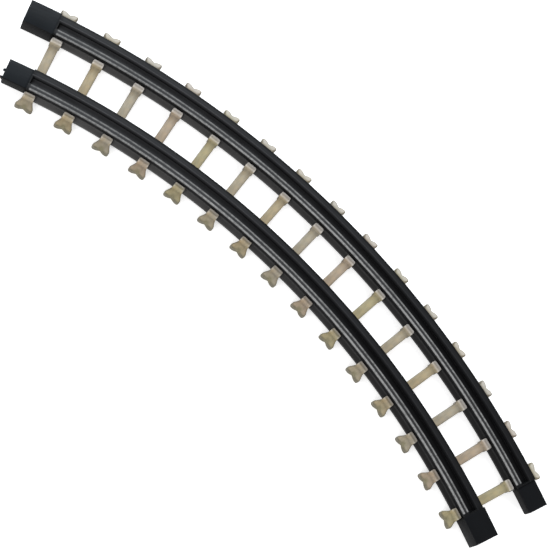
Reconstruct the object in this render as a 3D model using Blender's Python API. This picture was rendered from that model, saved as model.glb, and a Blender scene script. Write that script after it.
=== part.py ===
"""A curved section of toy railway track: two black rails clipped to fifteen bone-shaped ties.

Eight sections make a circle. Metres, +Z up. X runs along the chord and the arc bulges towards +Y.
The origin is under the middle of the section's bounding box, on the surface that it lies on.
"""
import math

import bmesh
import bpy
from mathutils import Matrix, Vector

MM = 0.001
GAP = 0.3 * MM                      # clearance kept between pieces that touch

# The arc
MID_RADIUS = 588.0 * MM             # track centre line
RAIL_SPACING = 47.2 * MM            # between the two rails' centre lines
TIE_COUNT = 15
TIE_PITCH = 3.0                     # degrees
RAIL_END = 21.42                    # degrees from the middle to the end of a rail
SOCKET_MOUTH = 23.45                # degrees from the middle
SOCKET_BACK = 21.62
TONGUE_TIP = 23.15
PIECE_GAP = 0.03                    # degrees between a rail and the connector behind it
RAIL_STEPS = 36
CONNECTOR_STEPS = 4
OUTER_RADIUS = MID_RADIUS + RAIL_SPACING / 2
INNER_RADIUS = MID_RADIUS - RAIL_SPACING / 2

# The rail's section: half widths, and heights above its seat on the ties
RAIL_SEAT = 2.5 * MM
FOOT_HALF = 9.4 * MM
FOOT_HEIGHT = 1.6 * MM
FOOT_ROOT = 2.0 * MM                # height of the foot where it meets the web
WEB_HALF = 6.1 * MM
WEB_TOP = 7.4 * MM
HEAD_HALF = 8.6 * MM
HEAD_SHOULDER = 9.6 * MM
TOP_HALF = 8.0 * MM
RAIL_HEIGHT = 10.7 * MM
GROOVE_HALF = 3.35 * MM
GROOVE_FLOOR_HALF = 3.15 * MM
GROOVE_DEPTH = 3.9 * MM
HOLLOW_HALF = 4.4 * MM              # the channel along the rail's underside
HOLLOW_ROOF = 5.0 * MM

# The connectors at the rails' ends
SOCKET_TOP_HALF = 9.0 * MM
CAVITY_HALF = 8.25 * MM
CAVITY_FLOOR = 2.3 * MM
CAVITY_ROOF = 9.95 * MM
CATCH_SLOT_HALF = 4.6 * MM
TONGUE_HALF = 8.0 * MM
TONGUE_TOP_HALF = 7.5 * MM
TONGUE_BOTTOM = 2.6 * MM
TONGUE_SHOULDER = 9.1 * MM
TONGUE_HEIGHT = 9.7 * MM
NOSE_RADIUS = 2.0 * MM
FINGER_SPREAD = 3.0 * MM            # from the rail's centre line to a snap finger's
FINGER_HALF = 0.8 * MM
FINGER_BOTTOM = 0.1 * MM
FINGER_TOP = 1.3 * MM
FINGER_REACH = {"outer": -0.4 * MM, "inner": 1.9 * MM}   # beyond the tongue's nose
BARB = 0.6 * MM

# The bone-shaped tie
TIE_HEIGHT = 5.0 * MM
SHAFT_HALF = 3.35 * MM
BONE_OVERHANG = 18.1 * MM           # from a rail's centre line to the bone's tip
KNUCKLE_RADIUS = 1.6 * MM
KNUCKLE_HALF = 6.3 * MM             # half the bone's width across its knuckles
KNUCKLE_ROOT_HALF = 6.0 * MM
KNUCKLE_ROOT = 15.2 * MM            # from the rail's centre line
FLARE_START = 8.2 * MM              # from the rail's centre line
FLARE_BOW = 0.6 * MM                # how far the flare's sides curve in
NOTCH_DEPTH = 1.4 * MM
NOTCH_HALF = 2.7 * MM
NOTCH_LIP = 0.25 * MM               # from the tip to the notch's edges
KNUCKLE_STEPS = 5
FLARE_STEPS = 4

# The clips that hold a rail's foot
CLIP_HALF = 3.95 * MM
CLIP_THICKNESS = 1.5 * MM
CLIP_ROOT = 1.0 * MM                # height inside the tie where a clip starts
CLIP_HEIGHT = 6.5 * MM
HOOK_REACH = 2.95 * MM

BLACK = (0.012, 0.013, 0.016, 1.0)
BONE = (0.385, 0.335, 0.245, 1.0)
CUT_EXTRA = 2.0 * MM                # how far a cutter runs past the face that it opens


def clear_scene():
    for thing in list(bpy.data.objects):
        bpy.data.objects.remove(thing, do_unlink=True)


def new_collection(name):
    collection = bpy.data.collections.new(name)
    bpy.context.scene.collection.children.link(collection)
    return collection


def new_material(name, colour, roughness):
    material = bpy.data.materials.new(name)
    material.use_nodes = True
    shader = material.node_tree.nodes["Principled BSDF"]
    shader.inputs["Base Color"].default_value = colour
    shader.inputs["Roughness"].default_value = roughness
    shader.inputs["Metallic"].default_value = 0.0
    return material


def new_object(name, bm, collection, parent=None, material=None):
    bmesh.ops.recalc_face_normals(bm, faces=bm.faces)
    mesh = bpy.data.meshes.new(name)
    bm.to_mesh(mesh)
    bm.free()
    thing = bpy.data.objects.new(name, mesh)
    collection.objects.link(thing)
    thing.parent = parent
    if material:
        mesh.materials.append(material)
    return thing


def as_cutter(thing):
    thing.hide_render = True
    thing.display_type = "WIRE"
    return thing


def boolean(thing, other, operation):
    modifier = thing.modifiers.new(other.name, "BOOLEAN")
    modifier.operation = operation
    modifier.object = other
    modifier.solver = "EXACT"


def polygon(bm, points):
    return bm.faces.new([bm.verts.new(point) for point in points])


def both_sides(half_profile):
    """Closes a half profile of (half width, height) points about its centre."""
    return half_profile + [(-x, z) for x, z in reversed(half_profile)]


def sweep(profile, radius, start, end, steps):
    """A section of (offset from the rail's centre line, height) points, spun about the arc's centre.

    Angles are in degrees from the middle of the section, positive towards +X.
    """
    bm = bmesh.new()
    turn = Matrix.Rotation(math.radians(90 - start), 4, "Z")
    face = polygon(bm, [turn @ Vector((radius + x, 0, RAIL_SEAT + z)) for x, z in profile])
    bmesh.ops.spin(bm, geom=[face], cent=(0, 0, 0), axis=(0, 0, 1), dvec=(0, 0, 0),
                   angle=math.radians(start - end), steps=steps)
    return bm


def extrude(points, bottom, top):
    bm = bmesh.new()
    face = polygon(bm, [(x, y, bottom) for x, y in points])
    raised = bmesh.ops.extrude_face_region(bm, geom=[face])
    lift = [item for item in raised["geom"] if isinstance(item, bmesh.types.BMVert)]
    bmesh.ops.translate(bm, verts=lift, vec=(0, 0, top - bottom))
    return bm


def box(name, low, high, collection):
    bm = bmesh.new()
    bmesh.ops.create_cube(bm, size=1.0)
    size = Vector(high) - Vector(low)
    bmesh.ops.scale(bm, verts=bm.verts, vec=size)
    bmesh.ops.translate(bm, verts=bm.verts, vec=(Vector(high) + Vector(low)) / 2)
    return as_cutter(new_object(name, bm, collection))


def rail_profile():
    half = [(HOLLOW_HALF, HOLLOW_ROOF),
            (HOLLOW_HALF, 0),
            (FOOT_HALF, 0),
            (FOOT_HALF, FOOT_HEIGHT),
            (WEB_HALF, FOOT_ROOT),
            (WEB_HALF, WEB_TOP),
            (HEAD_HALF, HEAD_SHOULDER),
            (TOP_HALF, RAIL_HEIGHT),
            (GROOVE_HALF, RAIL_HEIGHT),
            (GROOVE_FLOOR_HALF, RAIL_HEIGHT - GROOVE_DEPTH)]
    return both_sides(half)


def add_rail(name, radius, parts, parent):
    bm = sweep(rail_profile(), radius, -RAIL_END, RAIL_END, RAIL_STEPS)
    return new_object(name, bm, parts, parent, new_material(name, BLACK, 0.42))


def add_socket(name, radius, side, parts, cutters, parent):
    """A hollow connector, open at its mouth, with a slot in its floor for the snap fingers."""
    outside = both_sides([(FOOT_HALF, 0), (SOCKET_TOP_HALF, RAIL_HEIGHT)])
    start = side * (RAIL_END + PIECE_GAP)
    bm = sweep(outside, radius, start, side * SOCKET_MOUTH, CONNECTOR_STEPS)
    socket = new_object(name, bm, parts, parent, new_material(name, BLACK, 0.5))
    inside = both_sides([(CATCH_SLOT_HALF, -CUT_EXTRA),
                         (CATCH_SLOT_HALF, CAVITY_FLOOR),
                         (CAVITY_HALF, CAVITY_FLOOR),
                         (CAVITY_HALF, CAVITY_ROOF)])
    past_mouth = SOCKET_MOUTH + math.degrees(CUT_EXTRA / radius)
    bm = sweep(inside, radius, side * SOCKET_BACK, side * past_mouth, CONNECTOR_STEPS)
    boolean(socket, as_cutter(new_object(name + "_cavity", bm, cutters, parent)), "DIFFERENCE")
    return socket


def round_nose(bm, radius, tip):
    """Rounds the two upright edges at a tongue's tip."""
    direction = Matrix.Rotation(math.radians(90 - tip), 3, "Z") @ Vector((1, 0, 0))
    nose = []
    for edge in bm.edges:
        ends = [vert.co for vert in edge.verts]
        upright = abs(ends[0].z - ends[1].z) > (TONGUE_SHOULDER - TONGUE_BOTTOM) * 0.9
        flat = [Vector((end.x, end.y, 0)).normalized() for end in ends]
        if upright and all((way - direction).length < 1e-4 for way in flat):
            nose.append(edge)
    bmesh.ops.bevel(bm, geom=nose, offset=radius, segments=3, profile=0.5, affect="EDGES")


def add_tongue(name, radius, side, parts, parent):
    """The plug that slides into the next section's socket."""
    profile = both_sides([(TONGUE_HALF, TONGUE_BOTTOM),
                          (TONGUE_HALF, TONGUE_SHOULDER),
                          (TONGUE_TOP_HALF, TONGUE_HEIGHT)])
    start = side * (RAIL_END + PIECE_GAP)
    bm = sweep(profile, radius, start, side * TONGUE_TIP, CONNECTOR_STEPS)
    round_nose(bm, NOSE_RADIUS, side * TONGUE_TIP)
    return new_object(name, bm, parts, parent, new_material(name, BLACK, 0.5))


def add_snap_finger(name, radius, side, offset, reach, parts, parent):
    """A thin finger under a tongue, with a barb on its outer side at the tip."""
    root = RAIL_END + PIECE_GAP
    length = math.radians(TONGUE_TIP - root) * radius + reach
    outward = math.copysign(1.0, offset)
    outline = [(-FINGER_HALF, 0),
               (FINGER_HALF, 0),
               (FINGER_HALF, length - 4 * BARB),
               (FINGER_HALF + BARB, length - 3 * BARB),
               (FINGER_HALF * 0.5, length),
               (-FINGER_HALF, length)]
    outline = [(outward * x, -side * y) for x, y in outline]
    bm = extrude(outline, RAIL_SEAT + FINGER_BOTTOM, RAIL_SEAT + FINGER_TOP)
    bmesh.ops.translate(bm, verts=bm.verts, vec=(radius + offset, 0, 0))
    turn = Matrix.Rotation(math.radians(90 - side * root), 3, "Z")
    bmesh.ops.rotate(bm, verts=bm.verts, cent=(0, 0, 0), matrix=turn)
    return new_object(name, bm, parts, parent, new_material(name, BLACK, 0.5))


def knuckle_outline():
    """One quarter of a bone, from its shaft to the notch: (half width, distance along the bone)."""
    rail = RAIL_SPACING / 2
    tip = rail + BONE_OVERHANG
    start = Vector((SHAFT_HALF, rail + FLARE_START))
    root = Vector((KNUCKLE_ROOT_HALF, rail + KNUCKLE_ROOT))
    bend = (start + root) / 2 - Vector((FLARE_BOW, 0))
    centre = Vector((KNUCKLE_HALF - KNUCKLE_RADIUS, tip - KNUCKLE_RADIUS))
    points = []
    for step in range(FLARE_STEPS + 1):
        t = step / FLARE_STEPS
        points.append(start * (1 - t) ** 2 + bend * 2 * t * (1 - t) + root * t ** 2)
    for step in range(KNUCKLE_STEPS + 1):
        angle = math.radians(100 * step / KNUCKLE_STEPS)
        points.append(centre + KNUCKLE_RADIUS * Vector((math.cos(angle), math.sin(angle))))
    points.append(Vector((NOTCH_HALF, tip - NOTCH_LIP)))
    points.append(Vector((0, tip - NOTCH_DEPTH)))
    return [tuple(point) for point in points]


def bone_outline():
    """The whole bone lying along X, with its middle at the origin."""
    quarter = knuckle_outline()
    end = [(along, across) for across, along in quarter]
    end += [(along, -across) for across, along in reversed(quarter[:-1])]
    return end + [(-along, -across) for along, across in end]


def clip_shapes(rail_offset):
    """Low and high corners of the two uprights and two hooks that hold a rail's foot."""
    shapes = []
    for side in (-1, 1):
        inner = rail_offset + side * (FOOT_HALF + GAP)
        outer = inner + side * CLIP_THICKNESS
        hook = rail_offset + side * (FOOT_HALF - HOOK_REACH)
        for face, bottom in ((inner, CLIP_ROOT), (hook, RAIL_SEAT + FOOT_ROOT + GAP)):
            xs = sorted((face, outer))
            shapes.append(((xs[0], -CLIP_HALF, bottom), (xs[1], CLIP_HALF, CLIP_HEIGHT)))
    return shapes


def tie_mesh(cutters):
    """A bone with a seat cut for each rail and clips beside it, evaluated once for all the ties."""
    bone = new_object("bone_blank", extrude(bone_outline(), 0, TIE_HEIGHT), cutters)
    for rail_name, offset in (("outer", RAIL_SPACING / 2), ("inner", -RAIL_SPACING / 2)):
        reach = FOOT_HALF + GAP
        seat = box(rail_name + "_seat", (offset - reach, -2 * KNUCKLE_HALF, RAIL_SEAT - GAP),
                   (offset + reach, 2 * KNUCKLE_HALF, TIE_HEIGHT + CUT_EXTRA), cutters)
        boolean(bone, seat, "DIFFERENCE")
        for number, (low, high) in enumerate(clip_shapes(offset), 1):
            boolean(bone, box(f"{rail_name}_clip_{number}", low, high, cutters), "UNION")
    bpy.context.view_layer.update()
    depsgraph = bpy.context.evaluated_depsgraph_get()
    mesh = bpy.data.meshes.new_from_object(bone.evaluated_get(depsgraph))
    as_cutter(bone)
    return mesh


def add_tie(name, mesh, angle, parts, parent):
    """The tie at the given angle, lying across the track."""
    tie = bpy.data.objects.new(name, mesh.copy())
    tie.data.materials.clear()
    tie.data.materials.append(new_material(name, BONE, 0.6))
    parts.objects.link(tie)
    tie.parent = parent
    turn = math.radians(90 - angle)
    tie.location = (MID_RADIUS * math.cos(turn), MID_RADIUS * math.sin(turn), 0)
    tie.rotation_euler = (0, 0, turn)
    return tie


def stand_on_origin(parts, frame):
    """Moves the whole section so that its bounding box is centred over the origin."""
    bpy.context.view_layer.update()
    depsgraph = bpy.context.evaluated_depsgraph_get()
    corners = []
    for thing in parts.objects:
        shape = thing.evaluated_get(depsgraph)
        corners += [shape.matrix_world @ vert.co for vert in shape.data.vertices]
    xs = [corner.x for corner in corners]
    ys = [corner.y for corner in corners]
    frame.location = (-(min(xs) + max(xs)) / 2, -(min(ys) + max(ys)) / 2, 0)


def main():
    clear_scene()
    parts = new_collection("bone_tie_track_section")
    cutters = new_collection("cutters")
    frame = bpy.data.objects.new("arc_centre", None)
    bpy.context.scene.collection.objects.link(frame)

    # The outer rail has its socket at the -X end and its tongue at the +X end; the inner rail
    # has them the other way round, so that any two sections fit together.
    for rail_name, radius, socket_side in (("outer", OUTER_RADIUS, -1), ("inner", INNER_RADIUS, 1)):
        add_rail(rail_name + "_rail", radius, parts, frame)
        add_socket(rail_name + "_socket", radius, socket_side, parts, cutters, frame)
        add_tongue(rail_name + "_tongue", radius, -socket_side, parts, frame)
        for number, offset in enumerate((-FINGER_SPREAD, FINGER_SPREAD), 1):
            add_snap_finger(f"{rail_name}_snap_finger_{number}", radius, -socket_side, offset,
                            FINGER_REACH[rail_name], parts, frame)

    mesh = tie_mesh(cutters)
    for number in range(TIE_COUNT):
        angle = (number - (TIE_COUNT - 1) / 2) * TIE_PITCH
        add_tie(f"tie_{number + 1:02d}", mesh, angle, parts, frame)

    stand_on_origin(parts, frame)


main()
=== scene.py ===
"""The looks of a curved section of toy railway track: black plastic rails on bone-shaped ties."""
import math

import bmesh
import bpy
import numpy as np
from mathutils import Matrix, Vector


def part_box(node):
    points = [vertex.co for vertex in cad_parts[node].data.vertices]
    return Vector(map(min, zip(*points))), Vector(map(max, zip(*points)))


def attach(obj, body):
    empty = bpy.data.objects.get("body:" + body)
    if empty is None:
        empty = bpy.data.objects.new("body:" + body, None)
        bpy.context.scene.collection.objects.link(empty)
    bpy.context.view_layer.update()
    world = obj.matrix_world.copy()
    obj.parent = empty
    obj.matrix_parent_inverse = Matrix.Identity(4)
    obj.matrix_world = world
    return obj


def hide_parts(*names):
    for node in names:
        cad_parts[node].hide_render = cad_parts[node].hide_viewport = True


MM = 0.001

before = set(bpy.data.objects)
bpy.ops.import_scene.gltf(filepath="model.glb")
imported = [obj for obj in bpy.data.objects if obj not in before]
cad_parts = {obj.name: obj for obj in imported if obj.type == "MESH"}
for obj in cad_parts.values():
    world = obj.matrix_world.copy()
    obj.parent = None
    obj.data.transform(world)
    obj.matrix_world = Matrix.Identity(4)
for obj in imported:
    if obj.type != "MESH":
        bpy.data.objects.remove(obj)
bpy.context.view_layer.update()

# --- Sizes that drive the shapes, in metres and degrees, the same as the CAD's ---------------
MID_RADIUS = 588.0 * MM
RAIL_SPACING = 47.2 * MM
TIE_PITCH = 3.0
RAIL_END = 21.42
SOCKET_MOUTH = 23.45
SOCKET_BACK = 21.62
TONGUE_TIP = 23.15
RAIL_SEAT = 2.5 * MM
FOOT_HALF = 9.4 * MM
FOOT_HEIGHT = 1.6 * MM
FOOT_ROOT = 2.0 * MM
WEB_HALF = 6.1 * MM
WEB_TOP = 7.4 * MM
HEAD_HALF = 8.6 * MM
HEAD_SHOULDER = 9.6 * MM
TOP_HALF = 8.0 * MM
RAIL_HEIGHT = 10.7 * MM
GROOVE_HALF = 3.35 * MM
GROOVE_FLOOR_HALF = 3.15 * MM
GROOVE_DEPTH = 3.9 * MM
HOLLOW_HALF = 4.4 * MM
HOLLOW_ROOF = 5.0 * MM
SOCKET_TOP_HALF = 9.0 * MM
CAVITY_HALF = 8.25 * MM
CAVITY_FLOOR = 2.3 * MM
CAVITY_ROOF = 9.95 * MM
CATCH_SLOT_HALF = 4.6 * MM
TONGUE_HALF = 8.0 * MM
TONGUE_TOP_HALF = 7.5 * MM
TONGUE_BOTTOM = 2.6 * MM
TONGUE_SHOULDER = 9.1 * MM
TONGUE_HEIGHT = 9.7 * MM
NOSE_RADIUS = 2.0 * MM
TIE_HEIGHT = 5.0 * MM
SHAFT_HALF = 3.35 * MM
BONE_OVERHANG = 18.1 * MM
KNUCKLE_RADIUS = 1.6 * MM
KNUCKLE_HALF = 6.3 * MM
KNUCKLE_ROOT_HALF = 6.0 * MM
KNUCKLE_ROOT = 15.2 * MM
FLARE_START = 8.2 * MM
NOTCH_DEPTH = 1.4 * MM
NOTCH_HALF = 2.7 * MM
NOTCH_LIP = 0.25 * MM
FLARE_BOW = 0.6 * MM
CLIP_HALF = 3.95 * MM
CLIP_THICKNESS = 1.5 * MM
CLIP_HEIGHT = 6.5 * MM
HOOK_REACH = 2.95 * MM
GAP = 0.3 * MM
BONE_TIP = RAIL_SPACING / 2 + BONE_OVERHANG

# Sizes that only the visual model has
LINES_STOP = 1.9 * MM               # from the rail's end to its worn lines
GROOVE_STOP = 0.9 * MM              # from the rail's end to the groove's
GROOVE_SLOPE = 0.8 * MM             # length of the slope down to the groove's floor
UPRIGHT_BOTTOM = 0.4 * MM           # of a clip's upright
TAB_CORNER = 1.3 * MM               # radius of a clip's corners, seen from above
CUT_EXTRA = 2.0 * MM                # how far a cutter runs past the face that it opens
MOUTH_EXTRA = 0.2                   # the same in degrees, at a socket's mouth
SHARP_ANGLE = 38.0                  # edges sharper than this, in degrees, aren't shaded smooth

TIES = [f"tie_{number:02d}" for number in range(1, 16)]
middle_low, middle_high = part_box(TIES[len(TIES) // 2])
ARC_MIDDLE = Vector(((middle_low.x + middle_high.x) / 2, (middle_low.y + middle_high.y) / 2, 0))
ARC_CENTRE = ARC_MIDDLE - Vector((0, MID_RADIUS, 0))
RADIUS = {"outer": MID_RADIUS + RAIL_SPACING / 2, "inner": MID_RADIUS - RAIL_SPACING / 2}
SOCKET_SIDE = {"outer": -1, "inner": 1}
RAIL_STEPS = 172
CONNECTOR_STEPS = 14
FLARE_STEPS = 8
KNUCKLE_STEPS = 10
TIE_VOXEL = 0.34 * MM


# --- Node helpers -----------------------------------------------------------------------------
class Nodes:
    """A short way to add shader nodes and join them."""

    def __init__(self, name):
        self.material = bpy.data.materials.new(name)
        self.material.use_nodes = True
        self.tree = self.material.node_tree
        self.shader = self.tree.nodes["Principled BSDF"]

    def add(self, kind, **settings):
        node = self.tree.nodes.new(kind)
        for key, value in settings.items():
            if key[0].isupper():
                node.inputs[key.replace("_", " ")].default_value = value
            else:
                setattr(node, key, value)
        return node

    def link(self, source, target):
        self.tree.links.new(source, target)

    def attribute(self, name):
        return self.add("ShaderNodeAttribute", attribute_name=name).outputs["Fac"]

    def noise(self, coordinates, scale, detail=4.0, roughness=0.55):
        node = self.add("ShaderNodeTexNoise", Scale=scale, Detail=detail, Roughness=roughness)
        self.link(coordinates, node.inputs["Vector"])
        return node.outputs["Fac"]

    def ramp(self, factor, low, high, start=0.0, end=1.0):
        """Maps factor from low..high to start..end, held at both ends."""
        node = self.add("ShaderNodeMapRange", From_Min=low, From_Max=high, To_Min=start, To_Max=end)
        self.link(factor, node.inputs["Value"])
        return node.outputs["Result"]

    def maths(self, operation, first, second):
        node = self.add("ShaderNodeMath", operation=operation)
        for socket, value in zip(node.inputs, (first, second)):
            if isinstance(value, (int, float)):
                socket.default_value = value
            else:
                self.link(value, socket)
        return node.outputs["Value"]

    def product(self, *factors):
        result = factors[0]
        for factor in factors[1:]:
            result = self.maths("MULTIPLY", result, factor)
        return result

    def axis(self, vector, letter):
        """One coordinate of a vector."""
        node = self.add("ShaderNodeSeparateXYZ")
        self.link(vector, node.inputs["Vector"])
        return node.outputs[letter]

    def mix(self, factor, first, second):
        node = self.add("ShaderNodeMix", data_type="RGBA")
        self.link(factor, node.inputs["Factor"])
        for key, value in (("A", first), ("B", second)):
            socket = [item for item in node.inputs if item.name == key and item.type == "RGBA"][0]
            if isinstance(value, tuple):
                socket.default_value = (*value, 1.0)
            else:
                self.link(value, socket)
        return [item for item in node.outputs if item.type == "RGBA"][0]

    def bump(self, height, distance, strength=1.0, normal=None):
        node = self.add("ShaderNodeBump", Distance=distance, Strength=strength)
        self.link(height, node.inputs["Height"])
        if normal:
            self.link(normal, node.inputs["Normal"])
        return node.outputs["Normal"]


# --- Materials --------------------------------------------------------------------------------
BLACK = (0.0018, 0.0019, 0.0025)
# Dust with a painted sheen on the rails' and connectors' upper faces, painted light over dust on the rail's
# foot, and painted light in its groove
RAIL_DUST_AND_SHEEN = (0.0205, 0.0214, 0.0238)
CONNECTOR_DUST_AND_SHEEN = (0.0070, 0.0092, 0.0120)
FOOT_DUST_AND_PAINTED_LIGHT = (0.1380, 0.1350, 0.1330)
GROOVE_PAINTED_LIGHT = (0.0500, 0.0510, 0.0550)
WORN = (0.270, 0.268, 0.265)
BONE = (0.385, 0.335, 0.245)
BONE_TINTS = [(1.0, 1.0, 1.0), (1.03, 0.99, 0.88), (0.98, 1.0, 1.05), (1.04, 0.97, 0.99), (1.0, 1.01, 0.84)]
# Painted shade down the bones' sides, painted light on their clips and outer ends, and an olive stain that
# also stands for shade in their hollows
BONE_SIDE_SHADE = (0.13, 0.122, 0.108)
BONE_PAINTED_LIGHT = (0.90, 0.86, 0.81)
BONE_STAIN_AND_SHADE = (0.19, 0.17, 0.10)

# Stretches of X over which the rails' look changes: dust and a painted sheen are stronger at the -X end,
# the groove's painted light fades out towards +X and the worn lines' painted highlight grows towards +X
DUST_AND_SHEEN_SPAN = (-0.08, 0.2)
UPRIGHT_LIGHT_SPAN = (-0.15, 0.2)
GROOVE_SHEEN_SPAN = (-0.2, 0.12)
WEAR_HIGHLIGHT_SPAN = (-0.15, 0.0)


def black_plastic(name, dust_and_light_colour, roughness, gloss, railhead=False):
    """Moulded black plastic: dark sides, dull upper faces lighter with dust and a painted sheen, and fine
    marks along the rail.

    A rail has dust and painted light, stronger in some places than in others, and two worn lines.
    """
    nodes = Nodes(name)
    geometry = nodes.add("ShaderNodeNewGeometry")
    position = geometry.outputs["Position"]
    place_x = nodes.axis(position, "X")
    along, across, height = (nodes.attribute(key) for key in ("along", "across", "height"))
    track = nodes.add("ShaderNodeCombineXYZ")
    nodes.link(nodes.maths("MULTIPLY", along, 0.05), track.inputs["X"])
    nodes.link(across, track.inputs["Y"])
    flow = nodes.noise(track.outputs["Vector"], 1100.0, 4.0)
    blotch = nodes.noise(position, 60.0, 4.0)
    grain = nodes.noise(position, 2600.0, 2.0)

    # Dust and a painted sheen on the upward faces, stronger towards -X
    dust_and_light = nodes.product(nodes.ramp(nodes.axis(geometry.outputs["Normal"], "Z"), 0.72, 0.97),
                         nodes.ramp(blotch, 0.3, 0.7, 0.7, 1.0),
                         nodes.ramp(place_x, *DUST_AND_SHEEN_SPAN, 1.0, 0.3))
    if railhead:
        dust_and_light, dust_and_light_colour = rail_dust_and_light(nodes, dust_and_light, dust_and_light_colour, place_x, across, height)
    base = nodes.mix(dust_and_light, BLACK, dust_and_light_colour)
    if railhead:
        speckle = nodes.noise(position, 650.0, 3.0)
        # Worn lines on the inner lip; their strength along X is a painted highlight, weaker at the -X end
        wear = nodes.product(worn_lines(nodes, across, height),
                             nodes.ramp(flow, 0.3, 0.62, 0.65, 1.1),
                             nodes.ramp(speckle, 0.35, 0.62, 0.55, 1.15),
                             nodes.ramp(place_x, *WEAR_HIGHLIGHT_SPAN, 0.75, 1.2))
        base = nodes.mix(wear, base, WORN)
    nodes.link(base, nodes.shader.inputs["Base Color"])
    rough = nodes.ramp(flow, 0.3, 0.7, roughness - 0.05, roughness + 0.07)
    nodes.link(rough, nodes.shader.inputs["Roughness"])
    fine = nodes.bump(grain, 0.02 * MM, 0.35)
    nodes.link(nodes.bump(flow, 0.03 * MM, 0.3, fine), nodes.shader.inputs["Normal"])
    nodes.shader.inputs["Specular IOR Level"].default_value = gloss
    return nodes.material


def rail_dust_and_light(nodes, dust_and_light, dust_and_light_colour, place_x, across, height):
    """Changes the amount of dust and painted light, and its colour, from one part of a rail to another."""
    offset = nodes.maths("ABSOLUTE", across, 0.0)
    groove = nodes.product(nodes.ramp(height, HOLLOW_ROOF, HOLLOW_ROOF + 1 * MM),
                           nodes.ramp(height, RAIL_HEIGHT - 1.2 * MM, RAIL_HEIGHT - 0.2 * MM, 1.0, 0.0),
                           nodes.ramp(offset, GROOVE_HALF, GROOVE_HALF + 0.3 * MM, 1.0, 0.0))
    # Less dust and painted light on the groove's floor towards +X, near the rail's ends and on the lip's
    # edge on the outside of the curve, which stays black as painted shade
    groove_sheen_taken_off = nodes.product(groove, nodes.ramp(place_x, *GROOVE_SHEEN_SPAN, 0.1, 1.0))
    dust_and_light = nodes.product(dust_and_light, nodes.ramp(groove_sheen_taken_off, 0.0, 1.0, 1.0, 0.0),
                         nodes.ramp(nodes.attribute("to_end"), 0.5 * MM, LINES_STOP + 1.5 * MM, 0.15, 1.0),
                         nodes.ramp(across, TOP_HALF - 2.2 * MM, TOP_HALF - 1.0 * MM, 1.0, 0.0))
    # Painted light whichever way they face, lifting their shade: the top of the groove's outer wall, and
    # the foot and the web above it, where it also stands for dust
    wall_painted_light = nodes.product(nodes.ramp(across, GROOVE_FLOOR_HALF - 0.2 * MM, GROOVE_FLOOR_HALF),
                         nodes.ramp(across, GROOVE_HALF + 0.4 * MM, GROOVE_HALF + 0.9 * MM, 1.0, 0.0),
                         nodes.ramp(height, RAIL_HEIGHT - 3.4 * MM, RAIL_HEIGHT - 0.4 * MM),
                         nodes.ramp(place_x, *UPRIGHT_LIGHT_SPAN, 1.0, 0.3))
    foot_dust_and_light = nodes.product(nodes.ramp(height, FOOT_ROOT + 1.0 * MM, FOOT_ROOT + 2.8 * MM, 1.0, 0.0),
                         nodes.ramp(offset, WEB_HALF - 1.0 * MM, WEB_HALF - 0.6 * MM),
                         nodes.ramp(place_x, *UPRIGHT_LIGHT_SPAN, 0.7, 0.4))
    dust_and_light = nodes.maths("MAXIMUM", nodes.maths("MAXIMUM", dust_and_light, wall_painted_light), foot_dust_and_light)
    # The groove's floor and outer wall take a lighter colour of painted light; the foot takes a pale one
    # for dust and painted light
    dust_and_light_colour = nodes.mix(nodes.maths("MAXIMUM", groove, wall_painted_light), dust_and_light_colour, GROOVE_PAINTED_LIGHT)
    return dust_and_light, nodes.mix(foot_dust_and_light, dust_and_light_colour, FOOT_DUST_AND_PAINTED_LIGHT)


def worn_lines(nodes, across, height):
    """Where wheels have rubbed the lip on the inside of the curve: by the groove and by its shoulder."""
    def line(middle, half, fade):
        offset = nodes.maths("ABSOLUTE", nodes.maths("ADD", across, middle), 0.0)
        return nodes.ramp(offset, half, half + fade, 1.0, 0.0)

    by_groove = nodes.product(line(GROOVE_HALF + 0.85 * MM, 0.3 * MM, 0.5 * MM), 0.7)
    shoulder = line(TOP_HALF - 0.7 * MM, 0.45 * MM, 0.5 * MM)
    between = nodes.product(line((GROOVE_HALF + TOP_HALF) / 2, 1.6 * MM, 0.5 * MM), 0.06)
    lines = nodes.maths("MAXIMUM", nodes.maths("MAXIMUM", by_groove, shoulder), between)
    return nodes.product(lines, nodes.ramp(height, RAIL_HEIGHT - 1.1 * MM, RAIL_HEIGHT - 0.5 * MM),
                         nodes.ramp(nodes.attribute("to_end"), LINES_STOP, LINES_STOP + 0.6 * MM))


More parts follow.
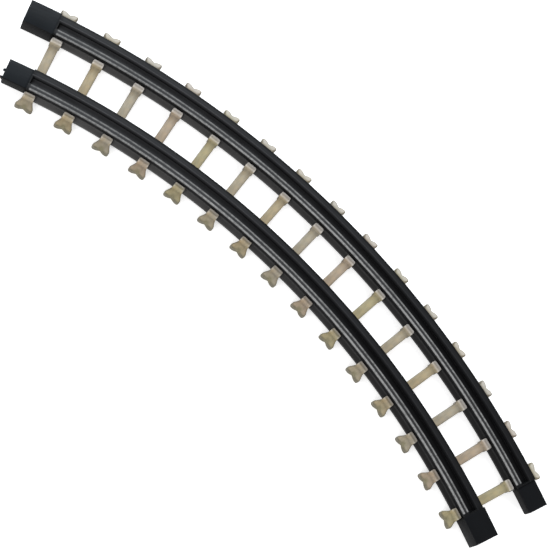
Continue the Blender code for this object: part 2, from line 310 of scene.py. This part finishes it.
def bone_plastic(name, colour):
    """Bone-coloured matt plastic: mottled, with painted shade down its sides, painted light where the tie's
    "edge" attribute says, more painted shade where its shade attribute does and an olive stain with painted
    shade where "hollow" does.
    """
    nodes = Nodes(name)
    local = nodes.add("ShaderNodeTexCoord").outputs["Object"]
    stretch = nodes.add("ShaderNodeMapping", vector_type="POINT", Scale=(0.35, 1.0, 1.0))
    nodes.link(local, stretch.inputs["Vector"])
    streak = nodes.noise(stretch.outputs["Vector"], 520.0, 5.0)
    mottle = nodes.noise(local, 240.0, 4.0, 0.65)
    grain = nodes.noise(local, 2400.0, 2.0)

    darker = tuple(channel * 0.8 for channel in colour)
    base = nodes.mix(nodes.ramp(streak, 0.35, 0.65), darker, colour)
    warm = tuple(channel * tint for channel, tint in zip(colour, (1.12, 1.0, 0.82)))
    base = nodes.mix(nodes.ramp(mottle, 0.4, 0.7, 0.0, 0.6), base, warm)
    upright = nodes.axis(nodes.add("ShaderNodeNewGeometry").outputs["Normal"], "Z")
    # Painted shade down the sides
    base = nodes.mix(nodes.ramp(upright, 0.2, 0.8, 0.75, 0.0), base, BONE_SIDE_SHADE)
    # Painted shade round the ends' outline and by the outer rail
    painted_shade = nodes.product(nodes.attribute("painted_shade"), nodes.ramp(mottle, 0.3, 0.6, 0.6, 1.0))
    base = nodes.mix(painted_shade, base, tuple(channel * 0.45 for channel in BONE_STAIN_AND_SHADE))
    # Painted light on the clips and the outer end
    base = nodes.mix(nodes.attribute("edge"), base, BONE_PAINTED_LIGHT)
    # Olive stain with painted shade in the hollows behind the notches
    hollow = nodes.product(nodes.attribute("hollow"), nodes.ramp(mottle, 0.25, 0.6, 0.75, 1.0))
    nodes.link(nodes.mix(hollow, base, BONE_STAIN_AND_SHADE), nodes.shader.inputs["Base Color"])

    nodes.link(nodes.ramp(mottle, 0.3, 0.7, 0.56, 0.7), nodes.shader.inputs["Roughness"])
    fine = nodes.bump(grain, 0.03 * MM, 0.4)
    nodes.link(nodes.bump(streak, 0.12 * MM, 0.35, fine), nodes.shader.inputs["Normal"])
    nodes.shader.inputs["Specular IOR Level"].default_value = 0.35
    return nodes.material


# --- Mesh helpers -----------------------------------------------------------------------------
def both_sides(half):
    """Closes a half profile of (half width, height) points about its centre."""
    return half + [(-x, z) for x, z in reversed(half)]


def rounded(points, radii, segments=3):
    """Rounds a closed outline's corners. radii holds one radius a point, 0 for a sharp corner."""
    result = []
    count = len(points)
    for index, (point, radius) in enumerate(zip(points, radii)):
        here = Vector(point)
        before = Vector(points[index - 1]) - here
        after = Vector(points[(index + 1) % count]) - here
        if radius <= 0:
            result.append(tuple(here))
            continue
        reach = min(radius, before.length * 0.45, after.length * 0.45)
        start = here + before.normalized() * reach
        end = here + after.normalized() * reach
        for step in range(segments + 1):
            t = step / segments
            curve = start * (1 - t) ** 2 + here * 2 * t * (1 - t) + end * t ** 2
            result.append(tuple(curve))
    return result


def sweep(profile, radius, start, end, steps):
    """Spins a section of (offset, height above the seat) points about the arc's centre."""
    bm = bmesh.new()
    turn = Matrix.Rotation(math.radians(90 - start), 3, "Z")
    verts = []
    for x, z in profile:
        place = ARC_CENTRE + turn @ Vector((radius + x, 0, RAIL_SEAT + z))
        verts.append(bm.verts.new(place))
    face = bm.faces.new(verts)
    bmesh.ops.spin(bm, geom=[face], cent=ARC_CENTRE, axis=(0, 0, 1), dvec=(0, 0, 0),
                   angle=math.radians(start - end), steps=steps)
    bmesh.ops.recalc_face_normals(bm, faces=bm.faces)
    return bm


def to_object(name, bm):
    mesh = bpy.data.meshes.new(name)
    bm.to_mesh(mesh)
    bm.free()
    thing = bpy.data.objects.new(name, mesh)
    bpy.context.scene.collection.objects.link(thing)
    return thing


def apply_modifiers(thing):
    """Replaces an object's mesh with what its modifiers make of it."""
    bpy.context.view_layer.update()
    depsgraph = bpy.context.evaluated_depsgraph_get()
    mesh = bpy.data.meshes.new_from_object(thing.evaluated_get(depsgraph))
    thing.modifiers.clear()
    thing.data = mesh


def soften(thing, width, segments=2, angle=32):
    """Rounds the sharp edges and shades the piece smooth."""
    bevel = thing.modifiers.new("soft_edges", "BEVEL")
    bevel.width = width
    bevel.segments = segments
    bevel.limit_method = "ANGLE"
    bevel.angle_limit = math.radians(angle)
    bevel.use_clamp_overlap = True
    apply_modifiers(thing)
    thing.data.shade_smooth()
    thing.data.set_sharp_from_angle(angle=math.radians(SHARP_ANGLE))


def combine(thing, other, operation):
    """Adds a boolean with another object, to be applied later."""
    modifier = thing.modifiers.new(operation, "BOOLEAN")
    modifier.operation = operation
    modifier.object = other
    modifier.solver = "EXACT"


def points_of(mesh):
    places = np.empty(len(mesh.vertices) * 3)
    mesh.vertices.foreach_get("co", places)
    return places.reshape(-1, 3)


def set_points(mesh, places):
    mesh.vertices.foreach_set("co", places.ravel())
    mesh.update()


def set_attribute(mesh, name, values):
    layer = mesh.attributes.new(name, "FLOAT", "POINT")
    layer.data.foreach_set("value", np.asarray(values, dtype=np.float32))


def rail_coordinates(mesh, radius):
    """Each point's distance along the rail, its offset from the rail's centre line and its height."""
    places = points_of(mesh) - np.array(ARC_CENTRE)
    angle = np.arctan2(places[:, 0], places[:, 1])
    return angle * radius, np.hypot(places[:, 0], places[:, 1]) - radius, places[:, 2] - RAIL_SEAT


def mark_rail(thing, radius):
    """Stores the coordinates that the black plastic's marks follow."""
    along, across, height = rail_coordinates(thing.data, radius)
    set_attribute(thing.data, "along", along)
    set_attribute(thing.data, "across", across)
    set_attribute(thing.data, "height", height)
    set_attribute(thing.data, "to_end", math.radians(RAIL_END) * radius - np.abs(along))


def smoothstep(values, low, high):
    t = np.clip((values - low) / (high - low), 0, 1)
    return t * t * (3 - 2 * t)


def finish_piece(thing, material, node):
    """Gives a piece its material, puts it under the root body and hides the CAD node that it stands for."""
    thing.data.materials.clear()
    thing.data.materials.append(material)
    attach(thing, "root")
    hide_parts(node)


# --- Rails ------------------------------------------------------------------------------------
def rail_profile():
    """The CAD's section with its corners rounded, each by its own radius."""
    half = [(HOLLOW_HALF, HOLLOW_ROOF),
            (HOLLOW_HALF, 0),
            (FOOT_HALF, 0),
            (FOOT_HALF, FOOT_HEIGHT),
            (WEB_HALF, FOOT_ROOT),
            (WEB_HALF, WEB_TOP),
            (HEAD_HALF, HEAD_SHOULDER),
            (TOP_HALF, RAIL_HEIGHT),
            (GROOVE_HALF, RAIL_HEIGHT),
            (GROOVE_FLOOR_HALF, RAIL_HEIGHT - GROOVE_DEPTH)]
    radii = [0.3 * MM, 0.2 * MM, 0.25 * MM, 0.35 * MM, 0.5 * MM, 0.8 * MM, 0.4 * MM,
             1.2 * MM, 0.35 * MM, 0.5 * MM]
    return rounded(both_sides(half), radii + radii[::-1], 4)


def close_groove(rail, radius):
    """Gathers the rings of points next to each end and lifts the groove's floor there."""
    places = points_of(rail.data)
    along, across, height = rail_coordinates(rail.data, radius)
    end = math.radians(RAIL_END) * radius
    to_end = end - np.abs(along)
    ring = np.round(to_end / (2 * end / RAIL_STEPS))
    target = np.select([ring == 1, ring == 2], [GROOVE_STOP, GROOVE_STOP + GROOVE_SLOPE], to_end)
    turn = (target - to_end) * np.sign(along) / radius
    x, y = (places - np.array(ARC_CENTRE)).T[:2]
    places[:, 0] = ARC_CENTRE.x + x * np.cos(turn) - y * np.sin(turn)
    places[:, 1] = ARC_CENTRE.y + x * np.sin(turn) + y * np.cos(turn)
    floor = (height > HOLLOW_ROOF + 1 * MM) & (np.abs(across) < GROOVE_HALF - 0.05 * MM)
    places[:, 2] += np.where(floor & (ring < 2), (RAIL_HEIGHT - height) * 0.97, 0)
    set_points(rail.data, places)


def make_rail(name, material):
    radius = RADIUS[name]
    rail = to_object(name + "_rail_body", sweep(rail_profile(), radius, -RAIL_END, RAIL_END, RAIL_STEPS))
    close_groove(rail, radius)
    soften(rail, 0.16 * MM, segments=1, angle=40)
    mark_rail(rail, radius)
    finish_piece(rail, material, name + "_rail")


# --- Connectors -------------------------------------------------------------------------------
def make_socket(name, material):
    """A hollow sleeve, open at its mouth and slotted in its floor."""
    radius = RADIUS[name]
    side = SOCKET_SIDE[name]
    outside = both_sides([(FOOT_HALF, 0), (SOCKET_TOP_HALF, RAIL_HEIGHT)])
    socket = to_object(name + "_socket_body",
                       sweep(outside, radius, side * RAIL_END, side * SOCKET_MOUTH, CONNECTOR_STEPS))
    inside = both_sides([(CATCH_SLOT_HALF, -CUT_EXTRA),
                         (CATCH_SLOT_HALF, CAVITY_FLOOR),
                         (CAVITY_HALF, CAVITY_FLOOR),
                         (CAVITY_HALF, CAVITY_ROOF)])
    past_mouth = SOCKET_MOUTH + MOUTH_EXTRA
    cavity = to_object("cavity",
                       sweep(inside, radius, side * SOCKET_BACK, side * past_mouth, CONNECTOR_STEPS))
    combine(socket, cavity, "DIFFERENCE")
    apply_modifiers(socket)
    bpy.data.objects.remove(cavity, do_unlink=True)
    soften(socket, 0.22 * MM)
    mark_rail(socket, radius)
    finish_piece(socket, material, name + "_socket")


def make_tongue(name, material):
    """A plug with its two upright edges rounded at the tip."""
    radius = RADIUS[name]
    side = -SOCKET_SIDE[name]
    profile = both_sides([(TONGUE_HALF, TONGUE_BOTTOM),
                          (TONGUE_HALF, TONGUE_SHOULDER),
                          (TONGUE_TOP_HALF, TONGUE_HEIGHT)])
    bm = sweep(profile, radius, side * RAIL_END, side * TONGUE_TIP, CONNECTOR_STEPS)
    direction = Matrix.Rotation(math.radians(90 - side * TONGUE_TIP), 3, "Z") @ Vector((1, 0, 0))
    nose = []
    for edge in bm.edges:
        ends = [vert.co - ARC_CENTRE for vert in edge.verts]
        upright = abs(ends[0].z - ends[1].z) > (TONGUE_SHOULDER - TONGUE_BOTTOM) * 0.9
        flat = [Vector((end.x, end.y, 0)).normalized() for end in ends]
        if upright and all((way - direction).length < 1e-3 for way in flat):
            nose.append(edge)
    bmesh.ops.bevel(bm, geom=nose, offset=NOSE_RADIUS, segments=5, profile=0.5, affect="EDGES")
    tongue = to_object(name + "_tongue_body", bm)
    soften(tongue, 0.3 * MM)
    mark_rail(tongue, radius)
    finish_piece(tongue, material, name + "_tongue")


def dress_fingers(material):
    """Gives the snap fingers, which keep their CAD shape, the connectors' plastic."""
    for name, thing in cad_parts.items():
        if "snap_finger" in name:
            thing.data.materials.clear()
            thing.data.materials.append(material)


# --- Ties -------------------------------------------------------------------------------------
def knuckle_outline():
    """One quarter of a bone, from its shaft to the notch: (half width, distance along the bone)."""
    start = Vector((SHAFT_HALF, RAIL_SPACING / 2 + FLARE_START))
    root = Vector((KNUCKLE_ROOT_HALF, RAIL_SPACING / 2 + KNUCKLE_ROOT))
    bend = (start + root) / 2 - Vector((FLARE_BOW, 0))
    centre = Vector((KNUCKLE_HALF - KNUCKLE_RADIUS, BONE_TIP - KNUCKLE_RADIUS))
    points = []
    for step in range(FLARE_STEPS + 1):
        t = step / FLARE_STEPS
        points.append(start * (1 - t) ** 2 + bend * 2 * t * (1 - t) + root * t ** 2)
    for step in range(KNUCKLE_STEPS + 1):
        angle = math.radians(100 * step / KNUCKLE_STEPS)
        points.append(centre + KNUCKLE_RADIUS * Vector((math.cos(angle), math.sin(angle))))
    points.append(Vector((NOTCH_HALF, BONE_TIP - NOTCH_LIP)))
    points.append(Vector((0, BONE_TIP - NOTCH_DEPTH)))
    return [tuple(point) for point in points]


def bone_outline():
    """The whole bone lying along X, with its middle at the origin and its outer end towards +X."""
    quarter = knuckle_outline()
    end = [(along, across) for across, along in quarter]
    end += [(along, -across) for across, along in reversed(quarter[:-1])]
    return end + [(-along, -across) for along, across in end]


def extruded(name, outline, bottom, top):
    bm = bmesh.new()
    face = bm.faces.new([bm.verts.new((x, y, bottom)) for x, y in outline])
    raised = bmesh.ops.extrude_face_region(bm, geom=[face])
    lift = [item for item in raised["geom"] if isinstance(item, bmesh.types.BMVert)]
    bmesh.ops.translate(bm, verts=lift, vec=(0, 0, top - bottom))
    bmesh.ops.recalc_face_normals(bm, faces=bm.faces)
    return to_object(name, bm)


def box_outline(x0, x1, half, corner):
    """A rectangle across the tie, with its corners rounded."""
    low, high = min(x0, x1), max(x0, x1)
    square = [(low, -half), (high, -half), (high, half), (low, half)]
    return rounded(square, [corner] * 4, 4)


def tie_blank():
    """The bone with its seats and clips, remeshed finely so that its surface can be shaped."""
    bone = extruded("bone", bone_outline(), 0, TIE_HEIGHT)
    tools = []
    for middle in (RAIL_SPACING / 2, -RAIL_SPACING / 2):
        reach = FOOT_HALF + GAP
        seat = extruded("seat", box_outline(middle - reach, middle + reach, 2 * KNUCKLE_HALF, 0),
                        RAIL_SEAT - GAP, 2 * TIE_HEIGHT)
        combine(bone, seat, "DIFFERENCE")
        tools.append(seat)
        for side in (-1, 1):
            inner = middle + side * (FOOT_HALF + GAP)
            outer = inner + side * CLIP_THICKNESS
            hook = middle + side * (FOOT_HALF - HOOK_REACH)
            upright = extruded("upright", box_outline(inner, outer, CLIP_HALF, 0),
                               UPRIGHT_BOTTOM, CLIP_HEIGHT)
            tab = extruded("tab", box_outline(hook, outer, CLIP_HALF, TAB_CORNER),
                           RAIL_SEAT + FOOT_ROOT + GAP, CLIP_HEIGHT)
            for shape in (upright, tab):
                combine(bone, shape, "UNION")
                tools.append(shape)
    remesh = bone.modifiers.new("remesh", "REMESH")
    remesh.mode = "VOXEL"
    remesh.voxel_size = TIE_VOXEL
    relax = bone.modifiers.new("relax", "SMOOTH")
    relax.factor = 0.5
    relax.iterations = 3
    apply_modifiers(bone)
    for tool in tools:
        bpy.data.objects.remove(tool, do_unlink=True)
    return bone


def outline_distance(places):
    """How far each point lies inside the bone's outline, seen from above."""
    outline = np.array(bone_outline())
    following = np.roll(outline, -1, axis=0)
    nearest = np.full(len(places), 1.0)
    for a, b in zip(outline, following):
        edge = b - a
        t = np.clip(((places[:, :2] - a) @ edge) / (edge @ edge), 0, 1)
        gap = places[:, :2] - a - t[:, None] * edge
        nearest = np.minimum(nearest, np.hypot(gap[:, 0], gap[:, 1]))
    return nearest


def shape_tie(bone):
    """Rounds the bone's edges, hollows each end behind its notch and slopes the clips' tops.

    Also stores where light and shade are painted on its plastic and where it is stained olive. The outer
    end, beyond the outer rail, is hollowed, stained and shaded less than the inner one.
    """
    places = points_of(bone.data)
    along = np.abs(places[:, 0])
    across = np.abs(places[:, 1])
    outer_end = places[:, 0] > 0
    from_rail = np.abs(along - RAIL_SPACING / 2)
    clip_back = FOOT_HALF + GAP + CLIP_THICKNESS
    inside = outline_distance(places)
    upper = smoothstep(places[:, 2], 2.5 * MM, TIE_HEIGHT)
    lower = 1 - smoothstep(places[:, 2], 0, 2.0 * MM)

    round_off = np.clip(1 - inside / (1.3 * MM), 0, 1) ** 2
    rounding = (0.6 * MM * lower - 0.8 * MM * upper) * round_off
    places[:, 2] += np.where(from_rail > clip_back, rounding, 0)
    hollow = np.exp(-(across / (1.8 * MM)) ** 2) * np.where(outer_end, 0.3, 1)
    hollow *= smoothstep(along, BONE_TIP - 5.5 * MM, BONE_TIP - 2.0 * MM)
    places[:, 2] -= upper * hollow * 0.9 * MM
    slope = smoothstep(from_rail, FOOT_HALF - 0.4 * MM, clip_back)
    places[:, 2] -= np.maximum(places[:, 2] - TIE_HEIGHT, 0) * slope * 0.9
    set_points(bone.data, places)

    # Painted light: the clips' rims, their whole tops by the outer rail, and the outer end's upper face
    tab = smoothstep(places[:, 2], TIE_HEIGHT + 0.3 * MM, CLIP_HEIGHT - 0.2 * MM)
    tab *= np.where(places[:, 0] < -RAIL_SPACING / 2, 0.5, 1)
    hook = FOOT_HALF - HOOK_REACH
    rim = np.maximum(0.6 * smoothstep(across, CLIP_HALF - 1.4 * MM, CLIP_HALF - 0.5 * MM),
                     1 - smoothstep(from_rail, hook + 0.9 * MM, hook + 2.2 * MM))
    flat = np.where(outer_end, 0.45, 0.12)
    inside_out = smoothstep(inside, 0.3 * MM, 1.4 * MM)
    facing_out = outer_end * smoothstep(along, BONE_TIP - 5.5 * MM, BONE_TIP - 2.5 * MM) * upper
    painted_light = tab * (flat + (1 - flat) * rim) + 0.5 * facing_out * inside_out
    set_attribute(bone.data, "edge", np.clip(painted_light, 0, 1))

    # Painted shade: round the ends' outline, and between the outer rail and the outer end
    tip = smoothstep(along, BONE_TIP - 5.0 * MM, BONE_TIP - 0.3 * MM)
    painted_shade = np.where(outer_end, 0.7, 0.8) * (1 - 0.75 * inside_out) * tip
    by_rail = outer_end * (along > RAIL_SPACING / 2)
    by_rail = by_rail * (1 - smoothstep(along, BONE_TIP - 6.0 * MM, BONE_TIP - 3.0 * MM))
    set_attribute(bone.data, "painted_shade", np.maximum(painted_shade, 0.65 * by_rail))
    # Olive stain with painted shade in the hollow behind each notch
    set_attribute(bone.data, "hollow", np.clip(hollow * (0.35 + 0.65 * upper), 0, 1))
    bone.data.shade_smooth()


def make_ties(materials):
    """One shaped bone, copied to each tie's place with its own small turn of tone."""
    bone = tie_blank()
    shape_tie(bone)
    for number, name in enumerate(TIES):
        tie = bpy.data.objects.new(name + "_bone", bone.data.copy())
        bpy.context.scene.collection.objects.link(tie)
        angle = math.radians(90 - (number - (len(TIES) - 1) / 2) * TIE_PITCH)
        tie.location = ARC_CENTRE + MID_RADIUS * Vector((math.cos(angle), math.sin(angle), 0))
        tie.rotation_euler = (0, 0, angle)
        finish_piece(tie, materials[number % len(materials)], name)
    bpy.data.objects.remove(bone, do_unlink=True)


# --- Stage ------------------------------------------------------------------------------------
TILT = math.radians(28.5)           # of the view, from straight down
HEADING = math.radians(-91.67)      # from +X to the side that the camera stands on
ROLL = math.radians(45.84)          # of the camera about its own line of sight
DISTANCE = 0.9157
LENS = 87.98
AIM = Vector((0.95 * MM, -33.8 * MM, RAIL_SEAT))   # from under the middle tie
FLOOR_HALF = 3.0
FLOOR_DEPTH = 0.2 * MM


def add_camera():
    towards = Vector((math.cos(HEADING), math.sin(HEADING), 0))
    vertical = Vector((0, 0, 1))
    away = math.sin(TILT) * towards + math.cos(TILT) * vertical
    up = math.sin(TILT) * vertical - math.cos(TILT) * towards
    right = up.cross(away)
    across = math.cos(ROLL) * right + math.sin(ROLL) * up
    upward = math.cos(ROLL) * up - math.sin(ROLL) * right
    data = bpy.data.cameras.new("camera")
    data.lens = LENS
    data.sensor_width = 36.0
    data.clip_start = 0.01
    camera = bpy.data.objects.new("camera", data)
    bpy.context.scene.collection.objects.link(camera)
    turn = Matrix((across, upward, away)).transposed().to_4x4()
    camera.matrix_world = Matrix.Translation(ARC_MIDDLE + AIM + DISTANCE * away) @ turn
    bpy.context.scene.camera = camera


def add_light(name, place, size, power, colour=(1, 1, 1)):
    """A soft rectangular light that faces the origin."""
    data = bpy.data.lights.new(name, "AREA")
    data.shape = "RECTANGLE"
    data.size, data.size_y = size
    data.energy = power
    data.color = colour
    light = bpy.data.objects.new(name, data)
    bpy.context.scene.collection.objects.link(light)
    light.location = place
    light.rotation_euler = (-Vector(place)).to_track_quat("-Z", "Y").to_euler()


def add_floor():
    bm = bmesh.new()
    bmesh.ops.create_grid(bm, x_segments=1, y_segments=1, size=FLOOR_HALF)
    floor = to_object("floor", bm)
    floor.location.z = -FLOOR_DEPTH
    nodes = Nodes("pale_floor")
    nodes.shader.inputs["Base Color"].default_value = (0.93, 0.93, 0.93, 1)
    nodes.shader.inputs["Roughness"].default_value = 0.9
    nodes.shader.inputs["Specular IOR Level"].default_value = 0.1
    nodes.shader.inputs["Emission Color"].default_value = (1, 1, 1, 1)
    nodes.shader.inputs["Emission Strength"].default_value = 0.55
    floor.data.materials.append(nodes.material)


def add_stage():
    add_camera()
    add_floor()
    add_light("key_far", (-0.95, 1.05, 1.15), (1.2, 0.9), 28.0, (0.90, 0.96, 1.0))
    add_light("fill_right", (1.5, 0.35, 1.1), (0.9, 0.9), 11.0)
    add_light("fill_near", (-0.3, -1.35, 0.9), (1.4, 0.6), 15.0)
    world = bpy.data.worlds.new("studio")
    world.use_nodes = True
    background = world.node_tree.nodes["Background"]
    background.inputs["Color"].default_value = (1, 1, 1, 1)
    background.inputs["Strength"].default_value = 0.36
    bpy.context.scene.world = world
    bpy.context.scene.view_settings.view_transform = "Standard"


def main():
    rail_black = black_plastic("rail_black", RAIL_DUST_AND_SHEEN, roughness=0.5, gloss=0.15, railhead=True)
    connector_black = black_plastic("connector_black", CONNECTOR_DUST_AND_SHEEN, roughness=0.52, gloss=0.11)
    bones = []
    for number, tint in enumerate(BONE_TINTS, 1):
        colour = tuple(channel * share for channel, share in zip(BONE, tint))
        bones.append(bone_plastic(f"bone_{number}", colour))
    for name in ("outer", "inner"):
        make_rail(name, rail_black)
        make_socket(name, connector_black)
        make_tongue(name, connector_black)
    dress_fingers(connector_black)
    make_ties(bones)
    add_stage()


main()
